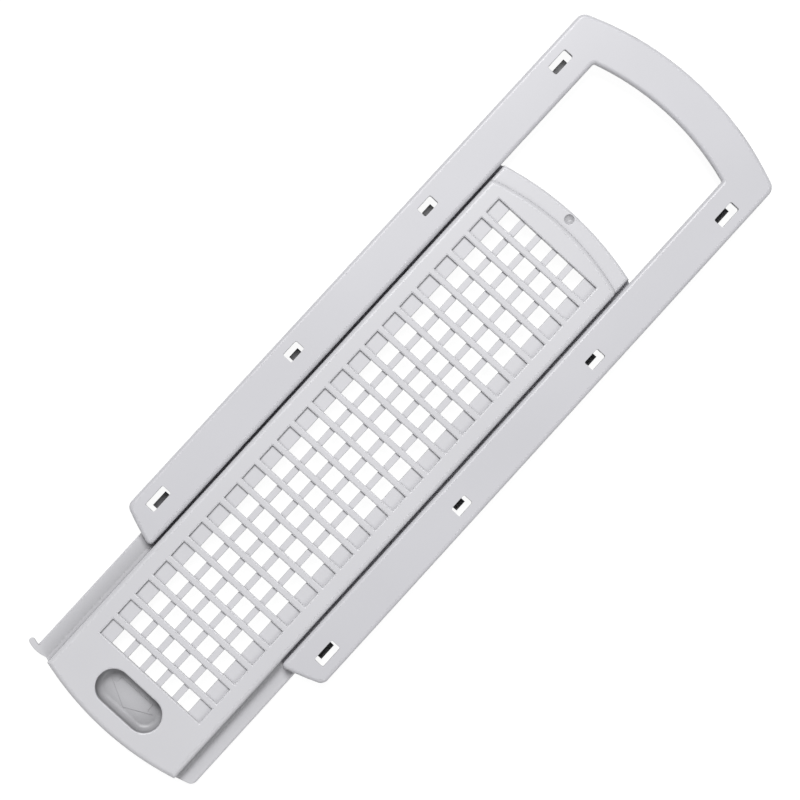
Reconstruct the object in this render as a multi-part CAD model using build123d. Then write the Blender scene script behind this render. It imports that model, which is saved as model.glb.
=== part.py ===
from build123d import *
import os
from math import radians, sqrt, tan

# Dryer lint filter guide: an arched bezel frame with a grille panel that slides under its arms.
# Millimetres. +Y runs along the slide towards the arch, +Z is up, and the hook feet rest on z = 0.
# The panel is modelled drawn out of the frame, and the origin is midway along the whole length.

# Bezel of the frame
frame_width = 120.0
frame_length = 331.2
band_width = 20.0
end_radius = 150.0
plate_thickness = 2.6
skirt_wall = 1.8
edge_round = 1.8
arch_corner_radius = 5.0
arm_corner_radius = 4.2
tip_radius = 1.9
opening_corner_radius = 1.2

# Guide rib under each arm, which keeps the panel's flange down
rib_wall = 1.6
rib_setback = 1.6
rib_depth = 5.0

# Hooks under the arms, and the moulding slots above their toes
hooks_per_arm = 4
first_hook_from_arch = 36.4
last_hook_from_end = 24.0
end_hook_length = 8.4
middle_hook_length = 5.6
leg_thickness = 1.4
foot_thickness = 2.1
toe_reach = 2.9
toe_chamfer = 1.1
heel_reach = 1.6
sheet_grip = 1.1
slot_width = 5.2
slot_margin = 5.65
slot_end_room = 1.6
slot_corner_radius = 0.8

# Sliding panel
draw_out = 68.8
slide_clearance = 0.35
panel_gap = 1.4
arch_gap = 2.5
panel_wall = 2.2
plateau_drop = 0.5
plateau_draft = 3.0
plateau_round = 2.2
plateau_root_round = 1.8
plateau_corner_radius = 3.0
ledge_width = 8.0
ledge_round = 1.4
flange_thickness = 2.2
flange_corner_radius = 3.5
flange_edge_chamfer = 0.7
nib_reach = 4.55
nib_width = 2.6
nib_tip_lift = 0.75
nib_root_run = 6.5
nib_root_lift = 1.0
dimple_diameter = 4.8
dimple_depth = 1.6
dimple_from_edge = 3.4

# Grille: cross slots cut into the top wall, long slots through the floor layer under them
row_slot = 8.6
row_bar = 3.15
row_depth = 1.5
rim_width = 0.6
rim_drop = 0.25
window_width = 6.8
window_bar = 3.1
window_draft = 3.0
grille_floor = 2.2
grille_side_land = 8.4
grille_arch_land = 10.6
grille_recess_land = 5.4
blind_end = 4.0

# Thumb recess
recess_length = 35.0
recess_width = 16.4
recess_wall = 2.2
recess_from_end = 17.1
recess_floor_round = 3.2

# Levels, from the hook feet up
flange_low = foot_thickness + slide_clearance
flange_high = flange_low + flange_thickness
rib_low = flange_high + slide_clearance
plate_low = rib_low + rib_depth
frame_high = plate_low + plate_thickness
skirt_low = foot_thickness + sheet_grip
plateau_high = frame_high - plateau_drop
panel_ceiling = plateau_high - panel_wall
ledge_high = plate_low - slide_clearance
plateau_base = (flange_high + ledge_high) / 2
row_floor = plateau_high - row_depth
grille_low = row_floor - grille_floor
recess_floor = flange_low + recess_wall

# Places along the slide
arch_y = (frame_length + draw_out) / 2
frame_end_y = arch_y - frame_length
panel_end_y = frame_end_y - draw_out
opening_arch_y = arch_y - band_width
plateau_arch_y = opening_arch_y - arch_gap - draw_out
ledge_arch_y = plateau_arch_y + ledge_width
recess_y = panel_end_y + recess_from_end

# Places across the slide
frame_half = frame_width / 2
opening_half = frame_half - band_width
opening_radius = end_radius - band_width
leg_outer = frame_half - slot_margin - slot_width
leg_inner = leg_outer - leg_thickness
flange_half = leg_inner - slide_clearance
plateau_half = opening_half - panel_gap
plateau_radius = opening_radius - arch_gap


def sagitta(half_chord, radius):
    return radius - sqrt(radius ** 2 - half_chord ** 2)


def arched_outline(half_width, high_y, high_radius, low_y, low_radius):
    """Straight sides closed by an outward arc at each end."""
    high_corner = high_y - sagitta(half_width, high_radius)
    low_corner = low_y + sagitta(half_width, low_radius)
    return make_face([
        Line((half_width, low_corner), (half_width, high_corner)),
        ThreePointArc((half_width, high_corner), (0, high_y), (-half_width, high_corner)),
        Line((-half_width, high_corner), (-half_width, low_corner)),
        ThreePointArc((-half_width, low_corner), (0, low_y), (half_width, low_corner)),
    ])


def raised(face, low, high, taper=0.0):
    """The face extruded between two levels."""
    return Pos(0, 0, low) * extrude(face, high - low, taper=taper)


def bezel_outline(inset):
    return arched_outline(
        frame_half - inset, arch_y - inset, end_radius - inset, frame_end_y + inset, end_radius - inset
    )


def opening_outline(growth):
    """The frame's opening, run out past the ends of the arms."""
    outline = arched_outline(
        opening_half + growth,
        opening_arch_y + growth,
        opening_radius + growth,
        frame_end_y - band_width,
        end_radius,
    )
    return fillet(outline.vertices().sort_by(Axis.Y)[-2:], opening_corner_radius + growth)


def bezel_band():
    outline = bezel_outline(0)
    outline = fillet(outline.vertices().sort_by(Axis.Y)[-2:], arch_corner_radius)
    outline = fillet(outline.vertices().sort_by(Axis.Y)[:2], arm_corner_radius)
    band = outline - opening_outline(0)
    return fillet(band.vertices().sort_by(Axis.Y)[:2], tip_radius)


def hook(length):
    """Inverted T: the toe catches a sheet edge, the heel carries the panel's flange."""
    toe = leg_outer + toe_reach
    heel = leg_inner - heel_reach
    lead = min(toe_chamfer, 0.8 * foot_thickness)
    profile = make_face(Polyline(
        (leg_inner, plate_low),
        (leg_inner, foot_thickness),
        (heel, foot_thickness),
        (heel, 0),
        (toe - lead, 0),
        (toe, lead),
        (toe, foot_thickness),
        (leg_outer, foot_thickness),
        (leg_outer, plate_low),
        close=True,
    ))
    return extrude(Plane.XZ * profile, length / 2, both=True)


def guide_frame():
    band = bezel_band()
    skirt_area = band - bezel_outline(skirt_wall)
    flange_path = Pos(0, frame_end_y) * Rectangle(2 * leg_inner, frame_length)
    arms = Pos(0, frame_end_y) * Rectangle(frame_width, 2 * (opening_arch_y - band_width - frame_end_y))
    rib_area = band & arms & (opening_outline(rib_setback + rib_wall) - opening_outline(rib_setback))
    frame = raised(band, plate_low, frame_high)
    frame += raised(skirt_area, rib_low, plate_low)
    frame += raised(skirt_area - flange_path, skirt_low, rib_low)
    frame += raised(rib_area, rib_low, plate_low)
    frame = fillet(frame.faces().sort_by(Axis.Z)[-1].outer_wire().edges(), edge_round)

    first_y = arch_y - first_hook_from_arch
    last_y = frame_end_y + last_hook_from_end
    pitch = (first_y - last_y) / (hooks_per_arm - 1)
    hooks = []
    slots = []
    for index in range(hooks_per_arm):
        at_end = index in (0, hooks_per_arm - 1)
        length = end_hook_length if at_end else middle_hook_length
        right_hook = Pos(0, first_y - index * pitch) * hook(length)
        right_slot = Pos(leg_outer + slot_width / 2, first_y - index * pitch) * RectangleRounded(
            slot_width, length + 2 * slot_end_room, slot_corner_radius
        )
        right_cut = raised(right_slot, plate_low, frame_high)
        hooks += [right_hook, mirror(right_hook, Plane.YZ)]
        slots += [right_cut, mirror(right_cut, Plane.YZ)]
    return frame + hooks - slots


def panel_outline():
    outline = arched_outline(flange_half, ledge_arch_y, end_radius, panel_end_y, end_radius)
    outline = fillet(outline.vertices().sort_by(Axis.Y)[-2:], flange_corner_radius)
    return fillet(outline.vertices().sort_by(Axis.Y)[:2].sort_by(Axis.X)[-1], flange_corner_radius)


def nib_outline():
    """A bent tab on the flange's left end, which meets the end of the left arm as the panel closes."""
    arm_end_y = frame_end_y + sagitta(leg_inner, end_radius)
    nib_y = arm_end_y - slide_clearance - nib_width / 2 - draw_out
    tip = (nib_width / 2 - nib_reach, nib_tip_lift)
    spine = ThreePointArc(tip, (0, 0), (nib_root_run, nib_root_lift))
    return Pos(-flange_half, nib_y) * SlotArc(spine, nib_width)


def body_outline(level, high_y, low_y, inset=0.0):
    """The raised body's outline at a level of its drafted wall."""
    growth = (plateau_high - level) * tan(radians(plateau_draft)) - inset
    outline = arched_outline(
        plateau_half + growth, high_y + growth, plateau_radius + growth, low_y, end_radius
    )
    return fillet(outline.vertices(), plateau_corner_radius - inset / 2)


def panel_shell():
    """A flange under a drafted body that steps down to a ledge at the arch, hollow underneath."""
    # Flange and body run past both ends, which are then cut as one face each
    flange = arched_outline(
        flange_half, ledge_arch_y + 2 * band_width, end_radius, panel_end_y - 2 * band_width, end_radius
    )
    shell = raised(flange, flange_low, flange_high)
    shell = chamfer(shell.faces().sort_by(Axis.Z)[-1].edges(), flange_edge_chamfer)
    body = body_outline(flange_high, ledge_arch_y + band_width, panel_end_y - band_width)
    shell += raised(body, flange_high, ledge_high, plateau_draft)
    flange_top = shell.faces().filter_by(Axis.Z).sort_by(Axis.Z)[1]
    shell = fillet(flange_top.inner_wires()[0].edges(), plateau_root_round)
    shell &= raised(panel_outline(), flange_low, ledge_high)
    shell = fillet(shell.faces().sort_by(Axis.Z)[-1].outer_wire().edges(), ledge_round)

    plateau = body_outline(plateau_base, plateau_arch_y, panel_end_y - band_width)
    plateau = raised(plateau, plateau_base, plateau_high, plateau_draft)
    plateau &= raised(panel_outline(), plateau_base, plateau_high)
    shell += fillet(plateau.faces().sort_by(Axis.Z)[-1].outer_wire().edges(), plateau_round)
    shell += raised(nib_outline(), flange_low, flange_high)

    under_ledge = body_outline(flange_low, ledge_arch_y, panel_end_y + panel_wall, panel_wall)
    under_plateau = body_outline(plateau_base, plateau_arch_y, panel_end_y + panel_wall, panel_wall)
    shell -= raised(under_ledge, flange_low, ledge_high - panel_wall, plateau_draft)
    return shell - raised(under_plateau, plateau_base, panel_ceiling, plateau_draft)


def window(length):
    """One long slot of the floor layer, with drafted sides that open upwards."""
    low_half = window_width / 2
    high_half = low_half + grille_floor * tan(radians(window_draft))
    profile = make_face(Polyline(
        (-low_half, grille_low),
        (low_half, grille_low),
        (high_half, row_floor),
        (-high_half, row_floor),
        close=True,
    ))
    return extrude(Plane.XZ * profile, length / 2, both=True)


def with_grille(panel):
    """Rows of cross slots over long slots: they open windows where they cross."""
    first_row_y = plateau_arch_y - grille_arch_land
    last_row_y = recess_y + recess_width / 2 + grille_recess_land
    row_pitch = row_slot + row_bar
    row_count = int((first_row_y - last_row_y + row_bar) // row_pitch)
    length = row_count * row_pitch - row_bar
    span = 2 * (plateau_half - grille_side_land)
    window_pitch = window_width + window_bar
    window_count = int((span - 2 * blind_end + window_bar) // window_pitch)

    rows = Sketch() + GridLocations(0, row_pitch, 1, row_count) * Rectangle(span, row_slot)
    pad = Rectangle(span + 2 * panel_wall, length + 2 * panel_wall)
    middle = Pos(0, first_row_y - length / 2)
    panel += raised(middle * pad, grille_low, panel_ceiling)
    panel -= [
        middle * place * window(length) for place in GridLocations(window_pitch, 0, window_count, 1)
    ]
    panel -= raised(middle * rows, row_floor, plateau_high)
    top = panel.faces().sort_by(Axis.Z)[-1]
    rims = [edge for rim in top.inner_wires() for edge in rim.edges()]
    return chamfer(rims, rim_width, rim_drop, reference=top)


def with_thumb_recess(panel):
    """A dish for the thumb, with its own shell under the top wall."""
    place = Pos(0, recess_y)
    shell = SlotOverall(recess_length + 2 * recess_wall, recess_width + 2 * recess_wall)
    panel += raised(place * shell, flange_low, panel_ceiling)
    dish = raised(place * SlotOverall(recess_length, recess_width), recess_floor, plateau_high)
    panel -= fillet(dish.faces().sort_by(Axis.Z)[0].edges(), recess_floor_round)
    top = panel.faces().sort_by(Axis.Z)[-1]
    rim = top.inner_wires().sort_by(Axis.Y)[0]
    return chamfer(rim.edges(), rim_width, rim_drop, reference=top)


def grille_panel():
    panel = with_thumb_recess(with_grille(panel_shell()))
    dimple_radius = ((dimple_diameter / 2) ** 2 + dimple_depth ** 2) / (2 * dimple_depth)
    dimple_y = ledge_arch_y - dimple_from_edge
    dimple_z = ledge_high + dimple_radius - dimple_depth
    return panel - Pos(0, dimple_y, dimple_z) * Sphere(dimple_radius)


os.makedirs("parts", exist_ok=True)
export_step(guide_frame(), "parts/guide_frame.step")
export_step(grille_panel(), "parts/grille_panel.step")
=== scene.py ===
import math

import bmesh
import bpy
from mathutils import Matrix, Vector


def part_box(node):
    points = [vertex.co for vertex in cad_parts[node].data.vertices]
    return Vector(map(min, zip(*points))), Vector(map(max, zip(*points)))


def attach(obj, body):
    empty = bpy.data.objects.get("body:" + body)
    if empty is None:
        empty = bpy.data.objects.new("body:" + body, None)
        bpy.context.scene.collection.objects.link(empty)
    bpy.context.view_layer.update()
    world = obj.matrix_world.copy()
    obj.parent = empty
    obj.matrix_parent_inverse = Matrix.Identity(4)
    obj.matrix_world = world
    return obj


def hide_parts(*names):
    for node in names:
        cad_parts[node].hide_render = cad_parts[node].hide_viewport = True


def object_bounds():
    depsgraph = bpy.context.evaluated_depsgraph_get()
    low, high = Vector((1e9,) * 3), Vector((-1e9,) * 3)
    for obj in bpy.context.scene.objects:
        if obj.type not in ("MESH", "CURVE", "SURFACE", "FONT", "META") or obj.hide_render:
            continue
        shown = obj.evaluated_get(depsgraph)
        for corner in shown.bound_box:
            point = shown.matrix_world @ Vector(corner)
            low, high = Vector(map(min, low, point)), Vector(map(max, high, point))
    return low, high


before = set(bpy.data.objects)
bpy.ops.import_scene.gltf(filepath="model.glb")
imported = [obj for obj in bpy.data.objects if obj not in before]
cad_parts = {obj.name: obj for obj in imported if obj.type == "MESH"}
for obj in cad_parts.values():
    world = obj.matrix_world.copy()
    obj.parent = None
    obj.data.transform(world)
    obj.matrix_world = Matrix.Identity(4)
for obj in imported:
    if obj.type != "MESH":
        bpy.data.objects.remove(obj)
cadLow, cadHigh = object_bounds()
print("frame loaded:", sorted(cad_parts))

scene = bpy.context.scene
scene.view_settings.view_transform = "Standard"


# small helpers for colours, node trees and pieces

white = (1, 1, 1, 1)


def shade(colour, share):
    return tuple(part * share for part in colour[:3]) + (1,)


def newMaterial(name):
    mat = bpy.data.materials.new(name)
    mat.use_nodes = True
    return mat, mat.node_tree.nodes, mat.node_tree.links


def addNode(nodes, kind, **sockets):
    node = nodes.new(kind)
    for socketName, value in sockets.items():
        node.inputs[socketName].default_value = value
    return node


def addRamp(nodes, band, lowColour, highColour):
    ramp = nodes.new("ShaderNodeValToRGB")
    lowStop, highStop = ramp.color_ramp.elements
    lowStop.position, highStop.position = band
    lowStop.color, highStop.color = lowColour, highColour
    return ramp


def meshObject(name, bm, mat):
    mesh = bpy.data.meshes.new(name)
    bm.to_mesh(mesh)
    bm.free()
    mesh.materials.append(mat)
    piece = bpy.data.objects.new(name, mesh)
    scene.collection.objects.link(piece)
    return piece


# grey moulded plastic, satin, with a fine mould grain and shade painted darker into hollows and corners

plastic = {
    "frameGrey": (0.592, 0.590, 0.620, 1),
    "panelGrey": (0.626, 0.624, 0.650, 1),
    "flowTone": 0.965,           # soft flow marks, as a share of the grey
    "flowBand": (0.35, 0.65),
    "flowScale": 14,
    "flowDetail": 3,
    "paintedShadeTone": 0.18,          # painted shade in the deepest hollows, as a share
    "paintedShadeBand": (0.10, 0.97),  # how open the surface is, from deepest painted shade to plain grey
    "paintedShadeReach": 0.030,
    "paintedShadeTop": 0.0104,         # above this only the corners of the shallow cells get painted shade
    "paintedShadeFull": 0.0085,
    # painted shade in the corners near the top face, as a share
    "paintedCornerShadeTone": 0.80,
    "paintedCornerShadeBand": (0.50, 0.76),
    "grainScale": 2600,          # mould grain
    "grainDetail": 2,
    "grainDepth": 0.000012,
    "edgeSoft": 0.0005,          # moulded edges catch light as if slightly rounded
    "roughLow": 0.33,
    "roughHigh": 0.42,
    "raySamples": 8,             # for the painted shade in hollows and the soft edges
}


def greyPlastic(name, grey, ownShadeOnly=True):
    mat, nodes, links = newMaterial(name)
    shader = nodes["Principled BSDF"]
    place = nodes.new("ShaderNodeTexCoord")

    # faint flow marks in the grey
    flow = addNode(nodes, "ShaderNodeTexNoise", Scale=plastic["flowScale"], Detail=plastic["flowDetail"])
    links.new(place.outputs["Object"], flow.inputs["Vector"])
    tint = addRamp(nodes, plastic["flowBand"], shade(grey, plastic["flowTone"]), grey)
    links.new(flow.outputs["Fac"], tint.inputs["Fac"])

    # shade painted darker into the hollows, by default cast by the same moulding alone
    paintedShadeProbe = addNode(nodes, "ShaderNodeAmbientOcclusion", Distance=plastic["paintedShadeReach"])
    paintedShadeProbe.only_local = ownShadeOnly
    paintedShadeProbe.samples = plastic["raySamples"]
    deepPaintedShade = addRamp(nodes, plastic["paintedShadeBand"], shade(white, plastic["paintedShadeTone"]), white)
    links.new(paintedShadeProbe.outputs["AO"], deepPaintedShade.inputs["Fac"])
    corner = addRamp(nodes, plastic["paintedCornerShadeBand"], shade(white, plastic["paintedCornerShadeTone"]), white)
    links.new(paintedShadeProbe.outputs["AO"], corner.inputs["Fac"])

    # towards the top face the deep painted shade gives way to the lighter painted shade of the corners
    height = nodes.new("ShaderNodeSeparateXYZ")
    links.new(place.outputs["Object"], height.inputs["Vector"])
    paintedShadeFade = nodes.new("ShaderNodeMapRange")
    paintedShadeFade.inputs["From Min"].default_value = plastic["paintedShadeTop"]
    paintedShadeFade.inputs["From Max"].default_value = plastic["paintedShadeFull"]
    links.new(height.outputs["Z"], paintedShadeFade.inputs["Value"])
    paintedShadeMix = nodes.new("ShaderNodeMix")
    paintedShadeMix.data_type = "RGBA"
    links.new(paintedShadeFade.outputs["Result"], paintedShadeMix.inputs["Factor"])
    links.new(corner.outputs["Color"], paintedShadeMix.inputs["A"])
    links.new(deepPaintedShade.outputs["Color"], paintedShadeMix.inputs["B"])
    # the painted shade is multiplied into the flow-marked grey
    body = nodes.new("ShaderNodeMix")
    body.data_type = "RGBA"
    body.blend_type = "MULTIPLY"
    body.inputs["Factor"].default_value = 1
    links.new(tint.outputs["Color"], body.inputs["A"])
    links.new(paintedShadeMix.outputs["Result"], body.inputs["B"])
    links.new(body.outputs["Result"], shader.inputs["Base Color"])

    # mould grain in the gloss and, over the softened edges, in the relief
    grain = addNode(nodes, "ShaderNodeTexNoise", Scale=plastic["grainScale"], Detail=plastic["grainDetail"])
    links.new(place.outputs["Object"], grain.inputs["Vector"])
    rough = nodes.new("ShaderNodeMapRange")
    rough.inputs["To Min"].default_value = plastic["roughLow"]
    rough.inputs["To Max"].default_value = plastic["roughHigh"]
    links.new(grain.outputs["Fac"], rough.inputs["Value"])
    links.new(rough.outputs["Result"], shader.inputs["Roughness"])
    soft = addNode(nodes, "ShaderNodeBevel", Radius=plastic["edgeSoft"])
    soft.samples = plastic["raySamples"]
    bump = addNode(nodes, "ShaderNodeBump", Strength=1, Distance=plastic["grainDepth"])
    links.new(soft.outputs["Normal"], bump.inputs["Normal"])
    links.new(grain.outputs["Fac"], bump.inputs["Height"])
    links.new(bump.outputs["Normal"], shader.inputs["Normal"])
    return mat


framePlastic = greyPlastic("framePlastic", plastic["frameGrey"])
panelPlastic = greyPlastic("panelPlastic", plastic["panelGrey"])
for nodeName, plasticMat in (("guide_frame", framePlastic), ("grille_panel", panelPlastic)):
    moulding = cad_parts[nodeName].data
    moulding.materials.clear()
    moulding.materials.append(plasticMat)
print("plastic on the frame and the panel")


# the frame once more, with true normals on the arch's round, where the solid's facets are uneven

archRound = {
    "apexY": 0.2000,             # farthest point of the arch along the slide
    "planRadius": 0.1500,
    "edgeRound": 0.0018,
    "near": 0.00004,             # corners this close to the round belong to it
    "weld": 0.000001,            # corners this close to each other become one
}


def roundedBezel(solid):
    facets = solid.data.copy()
    centreY = archRound["apexY"] - archRound["planRadius"]
    ringRadius = archRound["planRadius"] - archRound["edgeRound"]
    ringZ = cadHigh.z - archRound["edgeRound"]
    normals = [corner.vector.copy() for corner in facets.corner_normals]
    for corner in facets.loops:
        spot = facets.vertices[corner.vertex_index].co
        plan = Vector((spot.x, spot.y - centreY, 0))
        outward, upward = plan.length - ringRadius, spot.z - ringZ
        offRound = abs(math.hypot(outward, upward) - archRound["edgeRound"])
        if spot.y > 0 and min(outward, upward) > -archRound["near"] and offRound < archRound["near"]:
            normals[corner.index] = (plan.normalized() * outward + Vector((0, 0, upward))).normalized()

    # welded into one closed mesh, with the normals carried over
    carried = facets.attributes.new("carriedNormal", "FLOAT_VECTOR", "CORNER")
    carried.data.foreach_set("vector", [part for normal in normals for part in normal])
    bm = bmesh.new()
    bm.from_mesh(facets)
    bpy.data.meshes.remove(facets)
    bmesh.ops.remove_doubles(bm, verts=bm.verts, dist=archRound["weld"])
    piece = meshObject("rounded_bezel", bm, framePlastic)
    carried = piece.data.attributes["carriedNormal"]
    piece.data.normals_split_custom_set([corner.vector.copy() for corner in carried.data])
    piece.data.attributes.remove(carried)
    return piece


roundedBezelPiece = roundedBezel(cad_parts["guide_frame"])
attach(roundedBezelPiece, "frame")
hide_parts("guide_frame")
print("bezel with an even round")


# arrow sign in the thumb recess

arrow = {
    "apex": -0.0048,             # along the slide, from the recess's middle
    "headBase": 0.0016,
    "headWidth": 0.0251,
    "shaftWidth": 0.0190,
    "shaftEnd": 0.0049,
    "fromEnd": 0.0171,           # recess's middle, from the panel's end
    "floorDrop": 0.00745,        # recess floor under the panel's top
    "height": 0.00022,
    "sunk": 0.0002,
    "edgeRound": 0.00008,
    "edgeSteps": 2,
}


def thumbArrow():
    panelLow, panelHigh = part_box("grille_panel")
    middle = panelLow.y + arrow["fromEnd"]
    floorZ = panelHigh.z - arrow["floorDrop"] - arrow["sunk"]
    head, shaft = arrow["headWidth"] / 2, arrow["shaftWidth"] / 2
    outline = [(0, arrow["apex"]), (head, arrow["headBase"])]
    outline += [(shaft, arrow["headBase"]), (shaft, arrow["shaftEnd"])]
    outline += [(-x, y) for x, y in reversed(outline[1:])]
    bm = bmesh.new()
    corners = [bm.verts.new((x, middle + y, floorZ)) for x, y in outline]
    base = bm.faces.new(corners)
    top = bmesh.ops.extrude_face_region(bm, geom=[base])["geom"]
    rise = Vector((0, 0, arrow["height"] + arrow["sunk"]))
    bmesh.ops.translate(bm, verts=[v for v in top if isinstance(v, bmesh.types.BMVert)], vec=rise)
    topEdges = [e for e in top if isinstance(e, bmesh.types.BMEdge)]
    bmesh.ops.bevel(
        bm, geom=topEdges, offset=arrow["edgeRound"], affect="EDGES",
        segments=arrow["edgeSteps"], profile=0.5, material=-1
    )
    bmesh.ops.recalc_face_normals(bm, faces=bm.faces)
    arrowPlastic = greyPlastic("arrowPlastic", plastic["panelGrey"], ownShadeOnly=False)  # takes painted shade from the recess around it as well
    return meshObject("thumb_arrow", bm, arrowPlastic)


thumbArrowPiece = thumbArrow()
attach(thumbArrowPiece, "panel")
print("arrow in the recess")


# pale floor, white to the camera, with the object's shadow on it

floor = {
    "size": 14.0,
    "drop": 0.0002,
    "colour": (0.70, 0.70, 0.70, 1),
    "glow": 0.95,                # white that the camera sees, also in the shadow
    "shadowShare": 0.13,         # what the shadow takes away
}


def paleFloor():
    mat, nodes, links = newMaterial("paleFloor")
    nodes.remove(nodes["Principled BSDF"])
    out = nodes["Material Output"]
    paint = addNode(nodes, "ShaderNodeBsdfDiffuse", Color=floor["colour"])
    faint = addNode(nodes, "ShaderNodeBsdfDiffuse", Color=shade(white, floor["shadowShare"]))
    glow = addNode(nodes, "ShaderNodeEmission", Strength=floor["glow"])
    seen = nodes.new("ShaderNodeAddShader")
    links.new(glow.outputs["Emission"], seen.inputs[0])
    links.new(faint.outputs["BSDF"], seen.inputs[1])
    rays = nodes.new("ShaderNodeLightPath")
    mirrored = nodes.new("ShaderNodeMath")
    mirrored.operation = "MAXIMUM"
    links.new(rays.outputs["Is Glossy Ray"], mirrored.inputs[0])
    links.new(rays.outputs["Is Transmission Ray"], mirrored.inputs[1])
    direct = nodes.new("ShaderNodeMath")
    direct.operation = "MAXIMUM"
    links.new(rays.outputs["Is Camera Ray"], direct.inputs[0])
    links.new(mirrored.outputs["Value"], direct.inputs[1])
    pick = nodes.new("ShaderNodeMixShader")
    links.new(direct.outputs["Value"], pick.inputs["Fac"])
    links.new(paint.outputs["BSDF"], pick.inputs[1])
    links.new(seen.outputs["Shader"], pick.inputs[2])
    links.new(pick.outputs["Shader"], out.inputs["Surface"])
    bm = bmesh.new()
    bmesh.ops.create_grid(bm, x_segments=1, y_segments=1, size=floor["size"] / 2)
    bmesh.ops.translate(bm, verts=bm.verts, vec=(0, 0, cadLow.z - floor["drop"]))
    return meshObject("floor", bm, mat)


paleFloor()
print("floor under the hooks")


# camera above the panel, the slide leaning to the right in the picture

camera = {
    "spot": (-0.00828, -0.05122, 0.94667),
    "aim": (-0.00138, -0.00044, 0.0121),
    "slideLean": 42.45,          # degrees from the picture's upright to the slide
    "lens": 92.74,
    "sensor": 36,
    "clip": (0.01, 50),
}


def lookDown():
    data = bpy.data.cameras.new("camera")
    data.lens = camera["lens"]
    data.sensor_width = camera["sensor"]
    data.sensor_fit = "HORIZONTAL"
    data.clip_start, data.clip_end = camera["clip"]
    cam = bpy.data.objects.new("camera", data)
    scene.collection.objects.link(cam)
    spot = Vector(camera["spot"])
    look = (Vector(camera["aim"]) - spot).normalized()
    lean = math.radians(camera["slideLean"])
    right = look.cross(Vector((-math.sin(lean), math.cos(lean), 0))).normalized()
    up = right.cross(look)
    cam.matrix_world = Matrix.Translation(spot) @ Matrix((right, up, -look)).transposed().to_4x4()
    scene.camera = cam


lookDown()


# soft studio light, mostly from the top of the picture, with a weak fill from the right

studio = {
    "sky": white,
    "skyStrength": 0.13,
    "keyFrom": (-1.30, 1.06, 3.20),
    "keySize": 1.8,
    "keyPower": 126,
    "fillFrom": (2.5, -1.0, 1.9),
    "fillSize": 1.8,
    "fillPower": 27,
}


def aimedLamp(name, spot, size, power):
    data = bpy.data.lights.new(name, "AREA")
    data.shape = "DISK"
    data.size = size
    data.energy = power
    lamp = bpy.data.objects.new(name, data)
    lamp.location = spot
    lamp.rotation_euler = (-Vector(spot)).to_track_quat("-Z", "Y").to_euler()
    scene.collection.objects.link(lamp)


def softSky():
    world = bpy.data.worlds.new("studioSky")
    world.use_nodes = True
    sky = world.node_tree.nodes["Background"]
    sky.inputs["Color"].default_value = studio["sky"]
    sky.inputs["Strength"].default_value = studio["skyStrength"]
    scene.world = world


softSky()
aimedLamp("keyLight", studio["keyFrom"], studio["keySize"], studio["keyPower"])
aimedLamp("fillLight", studio["fillFrom"], studio["fillSize"], studio["fillPower"])
print("camera and light set")
